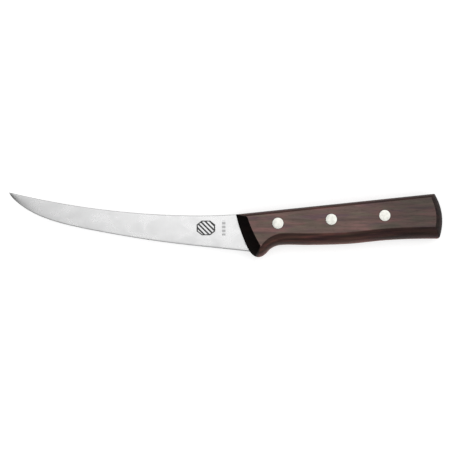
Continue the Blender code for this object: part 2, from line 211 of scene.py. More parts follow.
def joined(pieces: list) -> np.ndarray:
    """All points of an outline in one list."""
    return np.concatenate([np.concatenate(piece) for piece in pieces])


# ---------------------------------------------------------------- mesh work


def deselect_all() -> None:
    """Nothing selected, so that the next operator acts on the new piece alone."""
    bpy.ops.object.select_all(action="DESELECT")


def pick(piece: Object) -> None:
    """Selects one piece alone and makes it active."""
    deselect_all()
    piece.select_set(True)
    bpy.context.view_layer.objects.active = piece


def read_corners(piece: Object) -> np.ndarray:
    """Places of a piece's vertices, as rows of (x, y, z)."""
    places = np.empty(3 * len(piece.data.vertices), np.float32)
    piece.data.vertices.foreach_get("co", places)
    return places.reshape(-1, 3).astype(float)


def write_corners(piece: Object, places: np.ndarray) -> None:
    """Puts a piece's vertices at the given rows of (x, y, z)."""
    piece.data.vertices.foreach_set("co", places.astype(np.float32).ravel())
    piece.data.update()


def name_piece(piece: Object, name: str) -> Object:
    """Gives an object and its mesh the same name."""
    piece.name = name
    piece.data.name = name
    return piece


def edit(piece: Object, *steps: tuple) -> None:
    """Runs mesh operators on one piece in edit mode.

    Args:
        piece: The piece to work on.
        steps: Pairs of an operator of bpy.ops.mesh and the settings to call it with.
    """
    bpy.context.view_layer.objects.active = piece
    bpy.ops.object.mode_set(mode="EDIT")
    for operator, settings in steps:
        operator(**settings)
    bpy.ops.object.mode_set(mode="OBJECT")


def face_outwards(piece: Object) -> None:
    """All faces of a closed piece turned to point out of it."""
    edit(
        piece,
        (bpy.ops.mesh.select_all, {"action": "SELECT"}),
        (bpy.ops.mesh.normals_make_consistent, {"inside": False}),
    )


def settle(piece: Object) -> None:
    """Moves a piece's place and turn into its mesh, so that its object sits at the origin."""
    pick(piece)
    bpy.ops.object.transform_apply(location=True, rotation=True, scale=True)


def smooth(piece: Object, angle: float) -> None:
    """Smooth shading, except across edges sharper than the angle."""
    pick(piece)
    bpy.ops.object.shade_smooth_by_angle(angle=angle)


def sheet_of(name: str, places: np.ndarray) -> Object:
    """Grid of quads with one vertex at each place.

    Args:
        name: Name of the piece.
        places: Array of (stations, rows, 3).

    Returns:
        The sheet.
    """
    stations, rows = places.shape[:2]
    deselect_all()
    bpy.ops.mesh.primitive_grid_add(x_subdivisions=stations - 1, y_subdivisions=rows - 1, size=2.0)
    sheet = name_piece(bpy.context.object, name)
    corners = (read_corners(sheet) + 1.0) / 2
    station = np.rint(corners[:, 0] * (stations - 1)).astype(int)
    row = np.rint(corners[:, 1] * (rows - 1)).astype(int)
    write_corners(sheet, places[station, row])
    return sheet


def stack_of(name: str, rings: np.ndarray) -> tuple[Object, np.ndarray]:
    """Closed solid raised ring by ring, by extruding its cap.

    Args:
        name: Name of the piece.
        rings: Array of (levels, points round, 3).

    Returns:
        The solid, and for each of its vertices its place round the ring.
    """
    count = rings.shape[1]
    deselect_all()
    bpy.ops.mesh.primitive_circle_add(vertices=count, radius=1.0, fill_type="NGON")
    solid = name_piece(bpy.context.object, name)
    write_corners(solid, rings[0])
    place_round = np.arange(count)
    cap = np.arange(count)
    for level in range(1, len(rings)):
        edit(solid, (bpy.ops.mesh.extrude_region_move, {}))
        raised = np.array([v.index for v in solid.data.vertices if v.select])
        corners = read_corners(solid)
        gaps = np.linalg.norm(corners[raised][:, None] - rings[level - 1][None], axis=2)
        cap = gaps.argmin(axis=1)
        place_round = np.concatenate([place_round, np.zeros(len(raised), int)])
        place_round[raised] = cap
        corners[raised] = rings[level][cap]
        write_corners(solid, corners)
    return solid, place_round


def cut(piece: Object, cutter: Object) -> None:
    """Takes a cutter's shape out of a piece."""
    deselect_all()
    bpy.context.view_layer.objects.active = piece
    hole = piece.modifiers.new("hole", "BOOLEAN")
    hole.operation = "DIFFERENCE"
    hole.solver = "EXACT"
    hole.object = cutter
    bpy.ops.object.modifier_apply(modifier=hole.name)


def remove(piece: Object) -> None:
    """Deletes a helper and its mesh."""
    mesh = piece.data
    bpy.data.objects.remove(piece, do_unlink=True)
    bpy.data.meshes.remove(mesh)


def report(piece: Object) -> None:
    """Logs a finished piece and its fineness."""
    triangles = sum(len(face.vertices) - 2 for face in piece.data.polygons)
    log.info("%s: %d triangles", piece.name, triangles)


# ---------------------------------------------------------------- node work


class Bench:
    """Places and joins the nodes of one material, world or node group."""

    def __init__(self, tree: bpy.types.NodeTree) -> None:
        """Starts on a node tree."""
        self.tree = tree

    def put(self, kind: str, inputs: dict | None = None, **settings: object) -> bpy.types.Node:
        """Adds a node.

        Args:
            kind: Type of the node.
            inputs: For each input's name or number, the socket or the value that it takes.
            settings: The node's own settings.

        Returns:
            The node.
        """
        node = self.tree.nodes.new(kind)
        for name, value in settings.items():
            setattr(node, name, value)
        for name, value in (inputs or {}).items():
            if isinstance(value, bpy.types.NodeSocket):
                self.tree.links.new(value, node.inputs[name])
            else:
                node.inputs[name].default_value = value
        return node

    def math(self, operation: str, first: Socket | float, second: Socket | float = 0.0) -> Socket:
        """Result of one sum."""
        return self.put("ShaderNodeMath", {0: first, 1: second}, operation=operation).outputs[0]

    def times(self, first: Socket | float, second: Socket | float) -> Socket:
        """Product of two values."""
        return self.math("MULTIPLY", first, second)

    def plus(self, first: Socket | float, second: Socket | float) -> Socket:
        """Sum of two values."""
        return self.math("ADD", first, second)

    def minus(self, first: Socket | float, second: Socket | float) -> Socket:
        """First value less the second."""
        return self.math("SUBTRACT", first, second)

    def grey(self, tone: Socket) -> Socket:
        """Grey of the given tone."""
        return self.put("ShaderNodeCombineColor", {0: tone, 1: tone, 2: tone}).outputs[0]

    def axes(self, vector: Socket) -> list:
        """Sockets of a vector's X, Y and Z."""
        return list(self.put("ShaderNodeSeparateXYZ", {0: vector}).outputs)

    def mix(self, share: Socket, first: Socket | float, second: Socket | float) -> Socket:
        """Mix of two values."""
        return self.put("ShaderNodeMix", {0: share, 2: first, 3: second}, data_type="FLOAT").outputs[0]

    def dress(
        self, colour: Socket, rough: Socket, height: Socket, depth: float, strength: float
    ) -> None:
        """Gives the material its colour, roughness and fine relief."""
        shader = self.tree.nodes["Principled BSDF"]
        relief = self.put("ShaderNodeBump", {"Height": height, "Distance": depth, "Strength": strength})
        dressing = {"Base Color": colour, "Roughness": rough, "Normal": relief.outputs[0]}
        for name, socket in dressing.items():
            self.tree.links.new(socket, shader.inputs[name])

    def ease(self, value: Socket, low: float, high: float, start: float, end: float) -> Socket:
        """Value brought smoothly from low and high to start and end, and held there outside."""
        inputs = {"Value": value, "From Min": low, "From Max": high, "To Min": start, "To Max": end}
        node = self.put("ShaderNodeMapRange", inputs, interpolation_type="SMOOTHSTEP")
        return node.outputs["Result"]

    def blend(
        self, share: Socket | float, first: Socket | tuple, second: Socket | tuple, mode: str = "MIX"
    ) -> Socket:
        """Mix of two colours."""
        node = self.put("ShaderNodeMix", data_type="RGBA", blend_type=mode)
        for name, value in ((0, share), (6, first), (7, second)):
            if isinstance(value, bpy.types.NodeSocket):
                self.tree.links.new(value, node.inputs[name])
            else:
                node.inputs[name].default_value = value
        return node.outputs[2]

    def stretch(
        self, vector: Socket, scale: tuple, turn: float = 0.0, shift: tuple = (0, 0, 0)
    ) -> Socket:
        """Coordinates turned about Z, moved and scaled."""
        inputs = {"Vector": vector, "Scale": scale, "Rotation": (0, 0, turn), "Location": shift}
        return self.put("ShaderNodeMapping", inputs).outputs[0]

    def noise(
        self, vector: Socket, detail: float = 3.0, roughness: float = 0.5, distortion: float = 0.0
    ) -> Socket:
        """Smooth noise with a period of about one unit, spread evenly about a half."""
        inputs = {
            "Vector": vector,
            "Scale": 1.0,
            "Detail": detail,
            "Roughness": roughness,
            "Distortion": distortion,
        }
        return self.put("ShaderNodeTexNoise", inputs).outputs["Fac"]

    def place(self, group: bpy.types.NodeTree, inputs: dict) -> bpy.types.Node:
        """A shared effect with this material's own values."""
        return self.put("ShaderNodeGroup", inputs, node_tree=group)


def paint(colour: Colour) -> tuple[float, float, float, float]:
    """Colour with full cover."""
    return (*colour, 1.0)


def new_group(name: str, inputs: dict, outputs: dict) -> tuple[Bench, dict, bpy.types.Node]:
    """Empty shared effect.

    Args:
        name: Name of the node group.
        inputs: For each input, its socket type.
        outputs: For each output, its socket type.

    Returns:
        The bench for it, its input sockets by name, and the node that takes its outputs.
    """
    tree = bpy.data.node_groups.new(name, "ShaderNodeTree")
    for title, kind in inputs.items():
        tree.interface.new_socket(title, in_out="INPUT", socket_type=kind)
    for title, kind in outputs.items():
        tree.interface.new_socket(title, in_out="OUTPUT", socket_type=kind)
    bench = Bench(tree)
    given = bench.put("NodeGroupInput")
    return bench, {title: given.outputs[title] for title in inputs}, bench.put("NodeGroupOutput")


FLOAT = "NodeSocketFloat"
VECTOR = "NodeSocketVector"
COLOUR = "NodeSocketColor"


def fine_scratches() -> bpy.types.NodeTree:
    """Shared effect: fine polishing lines and soft handling smudges on bare metal.

    Returns:
        Group that takes a place along and across the lines, and gives a height and a mask.
    """
    bench, given, result = new_group(
        "fine_scratches",
        {"Along Lines": VECTOR, "Whole": VECTOR},
        {"Lines": FLOAT, "Smudges": FLOAT},
    )
    lines = bench.noise(given["Along Lines"], detail=4.0, roughness=0.65)
    smudges = bench.noise(given["Whole"], detail=3.0, roughness=0.55, distortion=0.4)
    bench.tree.links.new(lines, result.inputs["Lines"])
    bench.tree.links.new(bench.ease(smudges, 0.35, 0.7, 0.0, 1.0), result.inputs["Smudges"])
    return bench.tree


@dataclass(frozen=True)
class GrainLayer:
    """Noise drawn out along the wood's fibres, and what it brings where it is strong."""

    along: float  # how closely it repeats along the fibres and across them, per metre
    across: float
    shift: tuple = (0, 0, 0)
    detail: float = 3.0
    roughness: float = 0.5
    rise: tuple[float, float] = (0.3, 0.7)  # noise where it starts to show, and where it is full
    shares: tuple[float, float] = (0.0, 1.0)  # how strong it is at those
    tone: Colour = (0.0, 0.0, 0.0)

    def noise(self, bench: Bench, place: Socket) -> Socket:
        """Noise of the layer at a place in the wood."""
        where = bench.stretch(place, (self.along, self.across, self.across), shift=self.shift)
        return bench.noise(where, detail=self.detail, roughness=self.roughness)

    def eased(self, bench: Bench, noise: Socket) -> Socket:
        """How strong the layer is, for a noise of its own."""
        return bench.ease(noise, *self.rise, *self.shares)


BROWN: Colour = (0.090, 0.056, 0.046)  # the wood's ground, and over it pink, plum, olive and dark
TINTS = (
    GrainLayer(34, 230, (0, 0, 0), 3.0, 0.55, (0.42, 0.64), (0.0, 1.0), (0.142, 0.068, 0.062)),
    GrainLayer(48, 230, (9, 4, 5), 2.0, 0.5, (0.50, 0.66), (0.0, 0.8), (0.076, 0.042, 0.050)),
    GrainLayer(50, 260, (2, 8, 6), 2.0, 0.5, (0.50, 0.66), (0.0, 0.8), (0.090, 0.069, 0.050)),
    GrainLayer(30, 420, (5, 5, 2), 1.0, 0.5, (0.56, 0.70), (0.0, 0.32), (0.042, 0.022, 0.018)),
)
STREAKS = GrainLayer(45, 560, (3, 7, 1), shares=(-0.3, 0.3))
FIBRES = GrainLayer(110, 3200, (1, 2, 9), shares=(-0.3, 0.3))
PORES = GrainLayer(260, 5200, (4, 1, 3), detail=1.0, rise=(0.66, 0.72))
WANDER = GrainLayer(22, 60, detail=2.0)
SWAY = 1.4 * MM  # how far the fibres wander to the side
PORE_DARKNESS = 0.5
FIBRE_HEIGHT = 0.5  # of a pore's depth


def wood_grain() -> bpy.types.NodeTree:
    """Shared effect: rosewood figure in the solid, with fibres along X.

    Returns:
        Group that takes a place in metres, and gives the wood's colour and its surface height.
    """
    bench, given, result = new_group(
        "wood_grain",
        {"Place": VECTOR, "Figure": FLOAT},
        {"Color": COLOUR, "Height": FLOAT, "Pores": FLOAT},
    )
    place = given["Place"]
    wander = bench.minus(WANDER.noise(bench, place), 0.5)
    sway = bench.put("ShaderNodeCombineXYZ", {"Y": bench.times(wander, SWAY)}).outputs[0]
    grain = bench.put("ShaderNodeVectorMath", {0: place, 1: sway}, operation="ADD").outputs[0]

    colour = paint(BROWN)
    for layer in TINTS:
        colour = bench.blend(layer.eased(bench, layer.noise(bench, grain)), colour, paint(layer.tone))
    fibres = FIBRES.noise(bench, grain)
    light = bench.plus(
        STREAKS.eased(bench, STREAKS.noise(bench, grain)), FIBRES.eased(bench, fibres)
    )
    gain = bench.plus(bench.times(light, given["Figure"]), 1.0)
    holes = PORES.eased(bench, PORES.noise(bench, grain))
    gain = bench.times(gain, bench.minus(1.0, bench.times(holes, PORE_DARKNESS)))
    colour = bench.blend(1.0, colour, bench.grey(gain), "MULTIPLY")

    height = bench.minus(bench.times(fibres, FIBRE_HEIGHT), holes)
    bench.tree.links.new(colour, result.inputs["Color"])
    bench.tree.links.new(height, result.inputs["Height"])
    bench.tree.links.new(holes, result.inputs["Pores"])
    return bench.tree


# ---------------------------------------------------------------- finishes


@dataclass(frozen=True)
class Where:
    """Places that several finishes measure from, in the knife's frame."""

    corner: Vector  # the handle's upper front corner, at mid-thickness
    tilt: float
    half_handle: float


def start_material(name: str) -> tuple[Bench, bpy.types.Node, Socket]:
    """Empty material on an object's own coordinates.

    Args:
        name: Name of the material.

    Returns:
        Its bench, its Principled BSDF and the socket of its coordinates.
    """
    material = bpy.data.materials.new(name)
    material.use_nodes = True
    bench = Bench(material.node_tree)
    shader = material.node_tree.nodes["Principled BSDF"]
    coordinates = bench.put("ShaderNodeTexCoord").outputs["Object"]
    return bench, shader, coordinates


def material_named(name: str) -> bpy.types.Material:
    """Material that was made before."""
    return bpy.data.materials[name]


@dataclass(frozen=True)
class Rubbing:
    """How a metal was rubbed: closeness of its lines and smudges per metre, and what they do."""

    lines: tuple[float, float, float]
    smudges: tuple[float, float, float]
    smudged: float  # how far the smudges darken the metal, and to what share of its colour
    smudge_shade: float
    smudge_roughness: float

    def apply(
        self, bench: Bench, place: Socket, scratches: bpy.types.NodeTree, clean: Colour, rough: float
    ) -> tuple[Socket, Socket, Socket]:
        """Rubs a metal.

        Args:
            bench: The metal's bench.
            place: Coordinates to measure the lines and smudges in.
            scratches: Group of the fine scratches.
            clean: Colour where it isn't smudged.
            rough: Roughness there.

        Returns:
            Its colour, its roughness and the height of its lines.
        """
        marks = {
            "Along Lines": bench.stretch(place, self.lines),
            "Whole": bench.stretch(place, self.smudges),
        }
        rubbed = bench.place(scratches, marks)
        smudges = rubbed.outputs["Smudges"]
        dull = tuple(self.smudge_shade * tone for tone in clean)
        colour = bench.blend(bench.times(smudges, self.smudged), paint(clean), paint(dull))
        roughness = bench.plus(rough, bench.times(smudges, self.smudge_roughness))
        return colour, roughness, rubbed.outputs["Lines"]


@dataclass(frozen=True)
class SteelFinish:
    """Cross-ground, lightly glazed stainless steel with a plain etched mark on the left face and
    painted shade along the spine's corner.
    """

    name: str = "ground_steel"
    colour: Colour = (0.65, 0.65, 0.652)
    roughness: float = 0.27
    relief: float = 0.0004 * MM
    spine_shade_colour: Colour = (0.5, 0.5, 0.5)  # painted shade: the spine's rounded corner, turned up towards +Y, is painted darker, as where it faces away from the light
    spine_turn: tuple[float, float] = (0.12, 0.4)  # how far it has turned up where that shows
    etched: Colour = (0.09, 0.09, 0.09)
    mark_centre: tuple[float, float] = (-19.8 * MM, -8.9 * MM)
    mark_half_width: float = 6.2 * MM
    mark_half_height: float = 4.9 * MM
    stripe: float = 3.1 * MM
    ticks_at: float = -8.1 * MM
    tick_half_width: float = 1.1 * MM
    ticks_half_height: float = 4.9 * MM
    tick: float = 2.5 * MM
    cut_corners: float = 1.45  # what the shares across and up may add up to
    frame: tuple[float, float] = (0.84, 0.97)  # where the block's frame starts and ends, in shares
    blur: float = 0.03
    block_strength: float = 0.98
    tick_strengths: tuple[float, float] = (0.06, 0.36)
    mark_roughness: float = 0.3
    mark_depth: float = 2.0  # in heights of the grinding lines
    line_tones: tuple[float, float] = (0.985, 1.015)
    rubbing: Rubbing = Rubbing((5200, 130, 800), (90, 130, 90), 0.35, 0.93, 0.035)

    def mark(self, bench: Bench, place: Socket) -> Socket:
        """Mask of the etched mark: a striped block with cut corners and a column of plain ticks.

        Args:
            bench: The steel's bench.
            place: Coordinates from the handle's upper front corner.

        Returns:
            One inside the mark and nought outside.
        """
        x, y, z = bench.axes(place)
        across = bench.minus(x, self.mark_centre[0])
        up = bench.minus(y, self.mark_centre[1])
        wide = bench.math("DIVIDE", bench.math("ABSOLUTE", across), self.mark_half_width)
        high = bench.math("DIVIDE", bench.math("ABSOLUTE", up), self.mark_half_height)
        cut_corner = bench.math("DIVIDE", bench.plus(wide, high), self.cut_corners)
        far = bench.math("MAXIMUM", bench.math("MAXIMUM", wide, high), cut_corner)
        start, end = self.frame
        inside = start + self.blur
        border = bench.times(
            bench.ease(far, start, inside, 0, 1), bench.ease(far, end, end + self.blur, 1, 0)
        )
        slant = bench.plus(up, across)
        wave = bench.math("SINE", bench.times(slant, 2 * math.pi / self.stripe))
        stripes = bench.times(
            bench.ease(far, inside, inside + self.blur, 1, 0), bench.ease(wave, -0.15, 0.15, 0, 1)
        )
        block = bench.times(bench.math("MAXIMUM", border, stripes), self.block_strength)

        beside = bench.math("ABSOLUTE", bench.minus(x, self.ticks_at))
        column = bench.times(
            bench.ease(beside, self.tick_half_width, self.tick_half_width * 1.06, 1, 0),
            bench.ease(high, self.ticks_half_height / self.mark_half_height, 1.02, 1, 0),
        )
        beat = bench.math("SINE", bench.times(up, 2 * math.pi / self.tick))
        ticks = bench.times(column, bench.ease(beat, -0.5, 0.0, *self.tick_strengths))
        both = bench.math("MAXIMUM", block, ticks)
        return bench.times(both, bench.ease(z, 0.0, 0.1 * MM, 0, 1))

    def make(self, where: Where, scratches: bpy.types.NodeTree) -> bpy.types.Material:
        """Material of the blade and its tang."""
        bench, shader, coordinates = start_material(self.name)
        place = bench.stretch(coordinates, (1, 1, 1), shift=tuple(-where.corner))
        mark = self.mark(bench, place)
        wear_and_painted_light, rough, lines = self.rubbing.apply(bench, place, scratches, self.colour, self.roughness)
        line_tone = bench.ease(lines, 0.3, 0.7, *self.line_tones)
        wear_and_painted_light = bench.blend(1.0, wear_and_painted_light, bench.grey(line_tone), "MULTIPLY")
        # painted shade: faces whose normals turn up towards the spine are darkened
        spine = bench.axes(bench.put("ShaderNodeTexCoord").outputs["Normal"])[1]
        spine = bench.ease(spine, *self.spine_turn, 0.0, 1.0)
        wear_and_painted_light = bench.blend(spine, wear_and_painted_light, paint(self.spine_shade_colour))
        colour = bench.blend(mark, wear_and_painted_light, paint(self.etched))
        rough = bench.plus(rough, bench.times(mark, self.mark_roughness))
        height = bench.minus(lines, bench.times(mark, self.mark_depth))
        shader.inputs["Metallic"].default_value = 1.0
        bench.dress(colour, rough, height, self.relief, 0.5)
        return material_named(self.name)


@dataclass(frozen=True)
class RivetFinish:
    """Bright rivet metal, rubbed flush with the wood and left with fine turning rings."""

    name: str = "bright_rivet"
    colour: Colour = (0.705, 0.702, 0.65)
    roughness: float = 0.3
    relief: float = 0.006 * MM
    rubbing: Rubbing = Rubbing((500, 6500, 500), (700, 700, 700), 0.6, 0.88, 0.08)

    def make(self, where: Where, scratches: bpy.types.NodeTree) -> bpy.types.Material:
        """Material of all six rivet halves."""
        bench, shader, coordinates = start_material(self.name)
        place = bench.stretch(coordinates, (1, 1, 1), turn=-where.tilt)
        colour, rough, lines = self.rubbing.apply(bench, place, scratches, self.colour, self.roughness)
        shader.inputs["Metallic"].default_value = 1.0
        bench.dress(colour, rough, lines, self.relief, 0.6)
        return material_named(self.name)


@dataclass(frozen=True)
class GrainFinish:
    """Wood of the scales, where its fibres lie along the surface."""

    name: str = "scale_long_grain"
    specular: float = 0.3
    roughness: float = 0.42
    relief: float = 0.015 * MM
    grain_lean: float = math.radians(5.0)  # how far the fibres run out of line with the handle
    bevel_shade_tint: Colour = (0.38, 0.26, 0.235)  # painted shade: the bevels are painted darker and redder than the flat face, as where they turn away from the light
    bevel_depth: float = 0.14 * MM
    lip_light_gain: float = 4.0  # painted light: how much lighter the lower rim is painted, standing for light bounced up from the floor
    lip_depth: tuple[float, float] = (3.2 * MM, 6.0 * MM)
    soaked_shade: float = 0.12
    bright_end: float = 1.44  # how light the wood is behind the front, and at the butt
    dull_end: float = 0.86
    dulls_from: float = 78.0 * MM
    dulls_to: float = 104.0 * MM
    worn_lines: tuple[float, float, float] = (24, 900, 1)  # closeness of the bevels' lines
    worn_gains: tuple[float, float] = (0.62, 1.5)
    figure: float = 0.45
    pore_roughness: float = 0.25

    def shade(self, bench: Bench, place: Socket, depth: Socket) -> Socket:
        """Colour by which the wood darkens towards the butt and at the heel, with painted shade in the
        bevels and painted light at their lower rim.
        """
        along = bench.axes(place)[0]
        shade = bench.ease(along, self.dulls_from, self.dulls_to, self.bright_end, self.dull_end)
        lines = bench.put("ShaderNodeCombineXYZ", {"X": along, "Y": depth}).outputs[0]
        lines = bench.noise(bench.stretch(lines, self.worn_lines), detail=2.0)
        lines = bench.ease(lines, 0.35, 0.65, *self.worn_gains)
        # painted light: the bevels lighten towards their lower rim, standing for light bounced up from
        # the floor
        wear_and_painted_light = bench.times(lines, bench.ease(depth, *self.lip_depth, 1.0, self.lip_light_gain))
        soaked = bench.put("ShaderNodeAttribute", attribute_name="soaked").outputs["Fac"]
        wear_and_painted_light = bench.times(wear_and_painted_light, bench.ease(soaked, 0.0, 1.0, 1.0, self.soaked_shade))
        # painted shade: the bevels are darkened and reddened by their depth below the flat face
        bevel = bench.blend(1.0, paint(self.bevel_shade_tint), bench.grey(wear_and_painted_light), "MULTIPLY")
        in_bevel = bench.ease(depth, 0.02 * MM, self.bevel_depth, 0.0, 1.0)
        both = bench.blend(in_bevel, paint((1.0, 1.0, 1.0)), bevel)
        return bench.blend(1.0, both, bench.grey(shade), "MULTIPLY")

    def make(self, where: Where, grain: bpy.types.NodeTree) -> bpy.types.Material:
        """Material of the scales' sides, backs and bellies."""
        bench, shader, coordinates = start_material(self.name)
        middle = bench.stretch(coordinates, (1, 1, 1), shift=tuple(-where.corner))
        place = bench.stretch(middle, (1, 1, 1), turn=-where.tilt)
        fibres = bench.stretch(place, (1, 1, 1), turn=self.grain_lean)
        wood = bench.place(grain, {"Place": fibres, "Figure": self.figure})
        height = bench.axes(middle)[2]
        depth = bench.minus(where.half_handle, bench.math("ABSOLUTE", height))
        colour = bench.blend(1.0, wood.outputs["Color"], self.shade(bench, place, depth), "MULTIPLY")
        rough = bench.plus(self.roughness, bench.times(wood.outputs["Pores"], self.pore_roughness))
        shader.inputs["Specular IOR Level"].default_value = self.specular
        bench.dress(colour, rough, wood.outputs["Height"], self.relief, 0.6)
        return material_named(self.name)


@dataclass(frozen=True)
class EndGrainFinish:
    """Wood of the scales where the fibres are cut across: it drinks oil and is nearly black."""

    name: str
    shade: float
    specular: float
    roughness: float = 0.55
    relief: float = 0.03 * MM
    figure: float = 0.8
    pore_roughness: float = 0.2

    def make(self, where: Where, grain: bpy.types.NodeTree) -> bpy.types.Material:
        """Material of one end of the scales."""
        bench, shader, coordinates = start_material(self.name)
        middle = bench.stretch(coordinates, (1, 1, 1), shift=tuple(-where.corner))
        place = bench.stretch(middle, (1, 1, 1), turn=-where.tilt)
        wood = bench.place(grain, {"Place": place, "Figure": self.figure})
        tone = paint((self.shade,) * 3)
        colour = bench.blend(1.0, wood.outputs["Color"], tone, "MULTIPLY")
        rough = bench.plus(self.roughness, bench.times(wood.outputs["Pores"], self.pore_roughness))
        shader.inputs["Specular IOR Level"].default_value = self.specular
        bench.dress(colour, rough, wood.outputs["Height"], self.relief, 0.6)
        return material_named(self.name)


# ---------------------------------------------------------------- handle


@dataclass(frozen=True)
class Bevel:
    """Bevel between a scale's side face and its rim: an arc from steep at the rim to shallow."""

    start_width: float
    end_width: float
    drop: float
    rim_angle: float
    face_angle: float


class Stretch(Enum):
    """Stretches of the handle's outline, clockwise from the upper front corner."""

    BACK = 0
    BUTT = 1
    BELLY = 2
    FRONT = 3


@dataclass
class HandlePattern:
    """Outline of the handle and of its flat side faces, in the handle's frame."""

    length: float = 130.6 * MM  # along its straight back
    tilt: float = math.radians(5.94)
    front_lean: float = math.radians(6.5)
    front_radius: float = 102.0 * MM
    heel_rounding: float = 12.4 * MM
    finger_radius: float = 12.3 * MM
    finger_at: float = 26.5 * MM
    finger_depth: float = 23.1 * MM
    finger_sweep: float = math.radians(46.0)
    butt_depth: float = 29.7 * MM
    butt_set_back: float = 0.0 * MM
    butt_bulge: float = 3.4 * MM
    butt_rounding: float = 1.6 * MM
    back_rounding: float = 0.6 * MM
    front_rounding: float = 0.3 * MM
    belly_depths: tuple = ((0.18, 24.95 * MM), (0.43, 26.9 * MM), (0.68, 27.1 * MM))
    face_corner_rounding: float = 0.5 * MM
    run_out: float = 6.0 * MM  # how far each stretch is drawn past its corners
    steps: int = 48
    counts: tuple = (40, 30, 140, 50)
    corners: tuple = (8, 12, 44, 5)
    corner_split: tuple = (0.5, 0.5, 0.62, 0.5)  # share of each corner with the stretch before it
    heel_soak: float = 0.24
    bevels: tuple = (
        Bevel(2.15 * MM, 2.15 * MM, 3.0 * MM, math.radians(8), math.radians(72)),
        Bevel(2.8 * MM, 5.2 * MM, 4.4 * MM, math.radians(20), math.radians(68)),
        Bevel(7.9 * MM, 5.9 * MM, 6.3 * MM, math.radians(2), math.radians(62)),
        Bevel(8.5 * MM, 5.7 * MM, 5.6 * MM, math.radians(36), math.radians(54)),
    )

    def back_line(self) -> np.ndarray:
        """Straight back, from the front to the butt."""
        along = np.linspace(-self.run_out, self.length + self.run_out, self.steps)
        return np.stack([along, np.zeros_like(along)], axis=1)

    def butt_arch(self) -> np.ndarray:
        """Arched butt, from the back to the belly."""
        past = self.run_out / self.butt_depth
        share = np.linspace(-past, 1.0 + past, 2 * self.steps)
        across = self.length + self.butt_set_back * share + self.butt_bulge * 4 * share * (1 - share)
        return np.stack([across, -self.butt_depth * share], axis=1)

    def belly_curve(self) -> np.ndarray:
        """Belly from the butt forwards, round the finger curve and down to the heel."""
        start = np.array([self.finger_at, -self.finger_depth])
        corner = np.array([self.length + self.butt_set_back, -self.butt_depth])
        points = [start]
        for share, depth in self.belly_depths:
            points.append([start[0] + share * (corner[0] - start[0]), -depth])
        points.append(corner)
        belly = smooth_path(points, (1.0, 0.0), self.steps)
        past = belly[-1] + self.run_out * unit(belly[-1] - belly[-2])
        angles = np.linspace(0.0, self.finger_sweep, self.steps)[1:]
        arc = np.stack(
            [
                self.finger_at - self.finger_radius * np.sin(angles),
                -self.finger_depth - self.finger_radius * (1 - np.cos(angles)),
            ],
            axis=1,
        )
        heel_run = 2 * self.run_out + self.heel_rounding
        sweep = np.array([math.cos(self.finger_sweep), math.sin(self.finger_sweep)])
        return np.concatenate([[past], belly[::-1], arc, [arc[-1] - heel_run * sweep]])

    def front_curve(self) -> np.ndarray:
        """Front, from the heel up to the back."""
        top = np.array([math.cos(self.front_lean), math.sin(self.front_lean)])
        lowest = (self.finger_depth + self.finger_radius) / self.front_radius + top[1]
        angles = np.linspace(math.asin(lowest), self.front_lean, 3 * self.steps)
        arc = self.front_radius * (top - np.stack([np.cos(angles), np.sin(angles)], axis=1))
        return np.concatenate([arc, [self.run_out * np.array([-top[1], top[0]])]])

    def rim_pieces(self) -> list:
        """Rim in its four stretches, each with the corner after it."""
        roundings = (self.back_rounding, self.butt_rounding, self.heel_rounding, self.front_rounding)
        stretches = (self.back_line(), self.butt_arch(), self.belly_curve(), self.front_curve())
        return rounded_outline(stretches, roundings, self.counts, self.corners)

    def face_edge(self, path: np.ndarray, stretch: Stretch) -> np.ndarray:
        """Edge of the flat side face beside one stretch, the whole bevel's width away."""
        bevel = self.bevels[stretch.value]
        lengths = (0.0, lengths_along(path)[-1])
        if stretch is Stretch.BELLY:
            start = np.interp(-self.finger_at, -path[:, 0], lengths_along(path))
            lengths = (start, start + self.finger_radius * self.finger_sweep)
        return offset(path, lengths, (bevel.start_width, bevel.end_width))

    def face_pieces(self) -> list:
        """Edge of the flat side face in the rim's four stretches."""
        stretches = (
            self.face_edge(self.back_line(), Stretch.BACK),
            self.face_edge(self.butt_arch(), Stretch.BUTT),
            self.face_edge(self.belly_curve(), Stretch.BELLY),
            self.face_edge(self.front_curve(), Stretch.FRONT),
        )
        return rounded_outline(
            stretches, (self.face_corner_rounding,) * len(stretches), self.counts, self.corners
        )

    def along_rim(self, value: str) -> np.ndarray:
        """A bevel's named value at every rim point, changing evenly round each corner."""
        values = []
        for i, bevel in enumerate(self.bevels):
            here = getattr(bevel, value)
            following = getattr(self.bevels[(i + 1) % len(self.bevels)], value)
            values += [here] * self.counts[i]
            values += list(np.linspace(here, following, self.corners[i] + 2)[1:-1])
        return np.array(values)

    def span(self, stretch: Stretch) -> tuple[int, int]:
        """First and last number of a stretch's points round the rim, with its share of the corners."""
        lengths = [count + corner for count, corner in zip(self.counts, self.corners)]
        start = sum(lengths[: stretch.value])
        before = round((1 - self.corner_split[stretch.value - 1]) * self.corners[stretch.value - 1])
        after = round(self.corner_split[stretch.value] * self.corners[stretch.value])
        return start - before, start + self.counts[stretch.value] + after

    def heel(self) -> tuple[float, float]:
        """Numbers of the heel's points between which its wood goes from plain to soaked black."""
        front = self.span(Stretch.FRONT)[0]
        return front - self.corners[Stretch.BELLY.value] * self.heel_soak, float(front)

    def to_blade(self, points: np.ndarray) -> np.ndarray:
        """Points of the handle's frame in the blade's frame."""
        cosine = math.cos(self.tilt)
        sine = math.sin(self.tilt)
        x, y = points[..., 0], points[..., 1]
        return np.stack([x * cosine - y * sine, x * sine + y * cosine], axis=-1)


class Side(Enum):
    """Side of the knife, and the way that it faces along Z."""

    LEFT = 1
    RIGHT = -1


